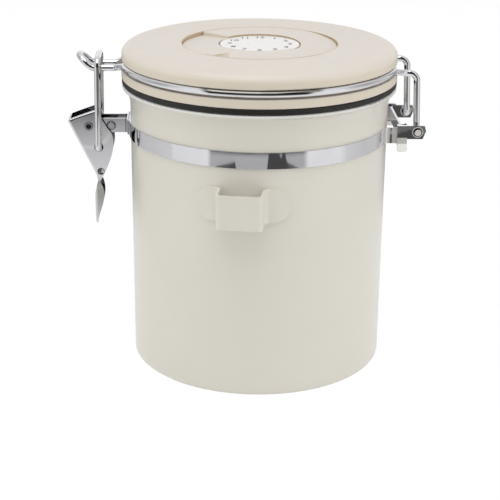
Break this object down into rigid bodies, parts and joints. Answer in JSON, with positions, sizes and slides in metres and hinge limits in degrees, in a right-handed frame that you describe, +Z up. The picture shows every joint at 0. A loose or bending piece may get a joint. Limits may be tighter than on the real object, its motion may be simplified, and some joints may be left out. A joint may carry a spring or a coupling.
{
  "type": "coffee canister",
  "caption": "Round coffee canister with a wire-bail lid, over-centre catch, date ring, one-way valve and scoop bracket.",
  "frame": {"origin": "middle of the can's standing face", "axes": "+Z up along the can; +X towards the lid's hinge, -X towards the catch; -Y towards the scoop bracket"},
  "size_m": [0.1648, 0.1369, 0.151],
  "materials": {
    "can_paint": "satin warm white",
    "chrome": "bright plated steel",
    "lid_plastic": "fine satin",
    "silicone": "matte black silicone",
    "disc_plastic": "semi gloss",
    "valve_plastic": "smooth"
  },
  "bodies": {
    "canister": {"canister_body": "can_paint", "scoop_bracket": "can_paint", "clamp_band": "chrome", "hinge_bracket": "chrome", "keeper_clip_front": "chrome", "keeper_clip_rear": "chrome", "catch_bracket": "chrome", "stop_rivet": "chrome", "lever_rivet": "chrome"},
    "lid": {"bail_wire": "chrome", "lid_cover": "lid_plastic", "lid_base": "lid_plastic", "lid_gasket": "silicone", "number_disc": "disc_plastic", "valve_seat": "valve_plastic", "valve_seal": "silicone"},
    "date_ring": {"date_ring": "lid_plastic"},
    "valve_flap": {"valve_flap": "silicone"},
    "lever": {"latch_lever": "chrome"},
    "draw_loop": {"draw_wire": "chrome"}
  },
  "joints": [
    {"name": "lid_hinge", "type": "hinge", "parent": "canister", "child": "lid", "pos_m": [0.0722, 0, 0.1135], "axis": [0, 1, 0], "range_deg": [0, 200]},
    {"name": "latch_lever", "type": "hinge", "parent": "canister", "child": "lever", "pos_m": [-0.0793, 0, 0.1128], "axis": [0, 1, 0], "range_deg": [0, 126]},
    {"name": "draw_swing", "type": "hinge", "parent": "lever", "child": "draw_loop", "pos_m": [-0.0749, 0, 0.1027], "axis": [0, 1, 0], "range_deg": [-102, 0]},
    {"name": "date_turn", "type": "hinge", "parent": "lid", "child": "date_ring", "pos_m": [0, 0, 0.149], "axis": [0, 0, 1], "continuous": true},
    {"name": "valve_lift", "type": "slide", "parent": "lid", "child": "valve_flap", "axis": [0, 0, 1], "range_m": [0, 0.0008], "stiffness_N_per_m": 30}
  ],
  "couplings": [
    {"joint": "draw_swing", "follows": "latch_lever", "ratio": -0.8}
  ]
}
